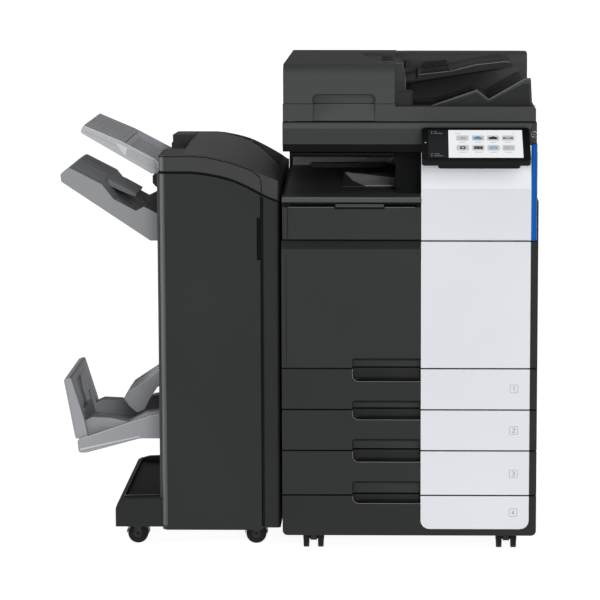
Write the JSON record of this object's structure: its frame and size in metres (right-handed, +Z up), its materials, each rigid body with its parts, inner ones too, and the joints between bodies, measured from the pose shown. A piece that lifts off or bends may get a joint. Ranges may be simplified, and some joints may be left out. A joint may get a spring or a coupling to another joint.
{
  "type": "photocopier",
  "caption": "Floor-standing office copier with document feeder, touch panel, paper trays, and a side finisher with output bins.",
  "frame": {"origin": "centre of the whole object's bounding box at floor level", "axes": "+Z up, +X to the right as seen from the front, +Y towards the back, so the front faces -Y"},
  "size_m": [1.1687, 0.8338, 1.187],
  "materials": {
    "charcoal": "fine-textured charcoal plastic",
    "charcoal_light": "fine-textured dark grey plastic",
    "black": "satin black plastic",
    "rubber": "dull black rubber",
    "white": "smooth cool white plastic, semi-gloss",
    "blue": "smooth blue plastic, semi-gloss",
    "bin_grey": "mid grey plastic",
    "bin_dark": "darker grey plastic",
    "glass": "clear flat glass",
    "screen": "glossy display face",
    "key": "satin round key"
  },
  "bodies": {
    "machine": {"main_frame": "charcoal", "left_cover": "charcoal", "rear_cover": "charcoal", "right_front_cover": "white", "side_accent": "blue", "exit_tray": "charcoal", "scanner_housing": "charcoal_light", "platen_glass": "glass", "toner_rack": "charcoal_light", "drum_rack": "charcoal_light", "panel_arm": "black", "finisher_frame": "charcoal", "finisher_base": "charcoal", "finisher_rear_cover": "charcoal", "upper_bin": "bin_grey", "booklet_bin": "bin_grey"},
    "front_door": {"front_door": "charcoal", "front_door_trim": "white"},
    "toner_door": {"toner_door": "charcoal"},
    "tray_1": {"tray_1": "charcoal", "tray_trim_1": "white"},
    "tray_2": {"tray_2": "charcoal", "tray_trim_2": "white"},
    "tray_3": {"tray_3": "charcoal", "tray_trim_3": "white"},
    "tray_4": {"tray_4": "charcoal", "tray_trim_4": "white"},
    "power_key": {"power_key": "key"},
    "panel": {"panel_housing": "black", "panel_screen": "screen"},
    "feeder": {"adf_body": "charcoal_light"},
    "feed_cover": {"adf_feed_cover": "charcoal_light"},
    "document_tray": {"adf_document_tray": "charcoal"},
    "guide_front": {"adf_guide_front": "charcoal_light"},
    "guide_rear": {"adf_guide_rear": "charcoal_light"},
    "pickup_roller": {"adf_pickup_roller": "rubber"},
    "scan_carriage": {"scan_carriage": "black"},
    "right_door": {"right_door": "charcoal"},
    "bypass_tray": {"bypass_tray": "charcoal_light"},
    "finisher_door": {"finisher_front_door": "charcoal"},
    "finisher_lid": {"finisher_top_cover": "charcoal"},
    "main_bin": {"main_bin": "bin_dark"},
    "booklet_flap": {"booklet_flap": "bin_grey"},
    "exit_roller": {"exit_roller": "rubber"},
    "swivel_fl": {"caster_fork_fl": "black"},
    "wheel_fl": {"caster_wheel_fl": "rubber"},
    "swivel_fr": {"caster_fork_fr": "black"},
    "wheel_fr": {"caster_wheel_fr": "rubber"},
    "swivel_bl": {"caster_fork_bl": "black"},
    "wheel_bl": {"caster_wheel_bl": "rubber"},
    "swivel_br": {"caster_fork_br": "black"},
    "wheel_br": {"caster_wheel_br": "rubber"},
    "fin_swivel_ll": {"finisher_fork_ll": "black"},
    "fin_wheel_ll": {"finisher_wheel_ll": "rubber"},
    "fin_swivel_lr": {"finisher_fork_lr": "black"},
    "fin_wheel_lr": {"finisher_wheel_lr": "rubber"},
    "fin_swivel_lb": {"finisher_fork_lb": "black"},
    "fin_wheel_lb": {"finisher_wheel_lb": "rubber"},
    "fin_swivel_rb": {"finisher_fork_rb": "black"},
    "fin_wheel_rb": {"finisher_wheel_rb": "rubber"}
  },
  "joints": [
    {"name": "front_door_hinge", "type": "hinge", "parent": "machine", "child": "front_door", "pos_m": [0.27085, -0.27008, 0.4575], "axis": [1, 0, 0], "range_deg": [0, 88]},
    {"name": "toner_door_hinge", "type": "hinge", "parent": "machine", "child": "toner_door", "pos_m": [0.12685, -0.27008, 0.7685], "axis": [1, 0, 0], "range_deg": [0, 80]},
    {"name": "tray_1_slide", "type": "slide", "parent": "machine", "child": "tray_1", "axis": [0, -1, 0], "range_m": [0, 0.45]},
    {"name": "tray_2_slide", "type": "slide", "parent": "machine", "child": "tray_2", "axis": [0, -1, 0], "range_m": [0, 0.45]},
    {"name": "tray_3_slide", "type": "slide", "parent": "machine", "child": "tray_3", "axis": [0, -1, 0], "range_m": [0, 0.45]},
    {"name": "tray_4_slide", "type": "slide", "parent": "machine", "child": "tray_4", "axis": [0, -1, 0], "range_m": [0, 0.45]},
    {"name": "power_key_press", "type": "slide", "parent": "machine", "child": "power_key", "axis": [0, 1, 0], "range_m": [0, 0.0015], "stiffness_N_per_m": 600},
    {"name": "panel_tilt", "type": "hinge", "parent": "machine", "child": "panel", "pos_m": [0.42585, -0.29908, 1.003], "axis": [1, 0, 0], "range_deg": [-6, 40]},
    {"name": "feeder_hinge", "type": "hinge", "parent": "machine", "child": "feeder", "pos_m": [0.27085, 0.36892, 1.051], "axis": [-1, 0, 0], "range_deg": [0, 60]},
    {"name": "feed_cover_hinge", "type": "hinge", "parent": "feeder", "child": "feed_cover", "pos_m": [-0.03145, 0.02892, 1.093], "axis": [0, -1, 0], "range_deg": [0, 75]},
    {"name": "document_tray_hinge", "type": "hinge", "parent": "feeder", "child": "document_tray", "pos_m": [0.23285, 0.00892, 1.13], "axis": [0, -1, 0], "range_deg": [0, 25]},
    {"name": "guide_front_slide", "type": "slide", "parent": "document_tray", "child": "guide_front", "axis": [0, 1, 0], "range_m": [0, 0.07]},
    {"name": "guide_rear_slide", "type": "slide", "parent": "document_tray", "child": "guide_rear", "axis": [0, 1, 0], "range_m": [-0.07, 0]},
    {"name": "pickup_roller_spin", "type": "hinge", "parent": "feeder", "child": "pickup_roller", "pos_m": [0.18285, 0.00892, 1.15], "axis": [0, 1, 0], "continuous": true},
    {"name": "scan_carriage_slide", "type": "slide", "parent": "machine", "child": "scan_carriage", "axis": [1, 0, 0], "range_m": [0, 0.5]},
    {"name": "right_door_hinge", "type": "hinge", "parent": "machine", "child": "right_door", "pos_m": [0.57185, 0.29492, 0.574], "axis": [0, 0, 1], "range_deg": [0, 80]},
    {"name": "bypass_tray_hinge", "type": "hinge", "parent": "right_door", "child": "bypass_tray", "pos_m": [0.58435, 0.06892, 0.4685], "axis": [0, 1, 0], "range_deg": [0, 75]},
    {"name": "finisher_door_hinge", "type": "hinge", "parent": "machine", "child": "finisher_door", "pos_m": [-0.32915, -0.24708, 0.48], "axis": [0, 0, -1], "range_deg": [0, 90]},
    {"name": "finisher_lid_hinge", "type": "hinge", "parent": "machine", "child": "finisher_lid", "pos_m": [-0.18715, 0.31092, 0.9268], "axis": [-1, 0, 0], "range_deg": [0, 60]},
    {"name": "main_bin_lift", "type": "slide", "parent": "machine", "child": "main_bin", "axis": [0, 0, 1], "range_m": [-0.33, 0]},
    {"name": "booklet_flap_hinge", "type": "hinge", "parent": "machine", "child": "booklet_flap", "pos_m": [-0.33915, 0.04392, 0.404], "axis": [0, 1, 0], "range_deg": [0, 25]},
    {"name": "exit_roller_spin", "type": "hinge", "parent": "machine", "child": "exit_roller", "pos_m": [-0.31315, 0.04392, 0.848], "axis": [0, 1, 0], "continuous": true},
    {"name": "swivel_fl_turn", "type": "hinge", "parent": "machine", "child": "swivel_fl", "pos_m": [0.03635, -0.19108, 0.052], "axis": [0, 0, 1], "continuous": true},
    {"name": "wheel_fl_spin", "type": "hinge", "parent": "swivel_fl", "child": "wheel_fl", "pos_m": [0.03635, -0.20608, 0.025], "axis": [1, 0, 0], "continuous": true},
    {"name": "swivel_fr_turn", "type": "hinge", "parent": "machine", "child": "swivel_fr", "pos_m": [0.50805, -0.19108, 0.052], "axis": [0, 0, 1], "continuous": true},
    {"name": "wheel_fr_spin", "type": "hinge", "parent": "swivel_fr", "child": "wheel_fr", "pos_m": [0.50805, -0.20608, 0.025], "axis": [1, 0, 0], "continuous": true},
    {"name": "swivel_bl_turn", "type": "hinge", "parent": "machine", "child": "swivel_bl", "pos_m": [0.03635, 0.33892, 0.052], "axis": [0, 0, 1], "continuous": true},
    {"name": "wheel_bl_spin", "type": "hinge", "parent": "swivel_bl", "child": "wheel_bl", "pos_m": [0.03635, 0.32392, 0.025], "axis": [1, 0, 0], "continuous": true},
    {"name": "swivel_br_turn", "type": "hinge", "parent": "machine", "child": "swivel_br", "pos_m": [0.50805, 0.33892, 0.052], "axis": [0, 0, 1], "continuous": true},
    {"name": "wheel_br_spin", "type": "hinge", "parent": "swivel_br", "child": "wheel_br", "pos_m": [0.50805, 0.32392, 0.025], "axis": [1, 0, 0], "continuous": true},
    {"name": "fin_swivel_ll_turn", "type": "hinge", "parent": "machine", "child": "fin_swivel_ll", "pos_m": [-0.38865, -0.16108, 0.052], "axis": [0, 0, 1], "continuous": true},
    {"name": "fin_wheel_ll_spin", "type": "hinge", "parent": "fin_swivel_ll", "child": "fin_wheel_ll", "pos_m": [-0.39865, -0.16108, 0.025], "axis": [0, 1, 0], "continuous": true},
    {"name": "fin_swivel_lr_turn", "type": "hinge", "parent": "machine", "child": "fin_swivel_lr", "pos_m": [-0.09645, -0.16108, 0.052], "axis": [0, 0, 1], "continuous": true},
    {"name": "fin_wheel_lr_spin", "type": "hinge", "parent": "fin_swivel_lr", "child": "fin_wheel_lr", "pos_m": [-0.10645, -0.16108, 0.025], "axis": [0, 1, 0], "continuous": true},
    {"name": "fin_swivel_lb_turn", "type": "hinge", "parent": "machine", "child": "fin_swivel_lb", "pos_m": [-0.38865, 0.24892, 0.052], "axis": [0, 0, 1], "continuous": true},
    {"name": "fin_wheel_lb_spin", "type": "hinge", "parent": "fin_swivel_lb", "child": "fin_wheel_lb", "pos_m": [-0.39865, 0.24892, 0.025], "axis": [0, 1, 0], "continuous": true},
    {"name": "fin_swivel_rb_turn", "type": "hinge", "parent": "machine", "child": "fin_swivel_rb", "pos_m": [-0.09645, 0.24892, 0.052], "axis": [0, 0, 1], "continuous": true},
    {"name": "fin_wheel_rb_spin", "type": "hinge", "parent": "fin_swivel_rb", "child": "fin_wheel_rb", "pos_m": [-0.10645, 0.24892, 0.025], "axis": [0, 1, 0], "continuous": true}
  ],
  "couplings": [
    {"joint": "guide_rear_slide", "follows": "guide_front_slide", "ratio": -1}
  ]
}
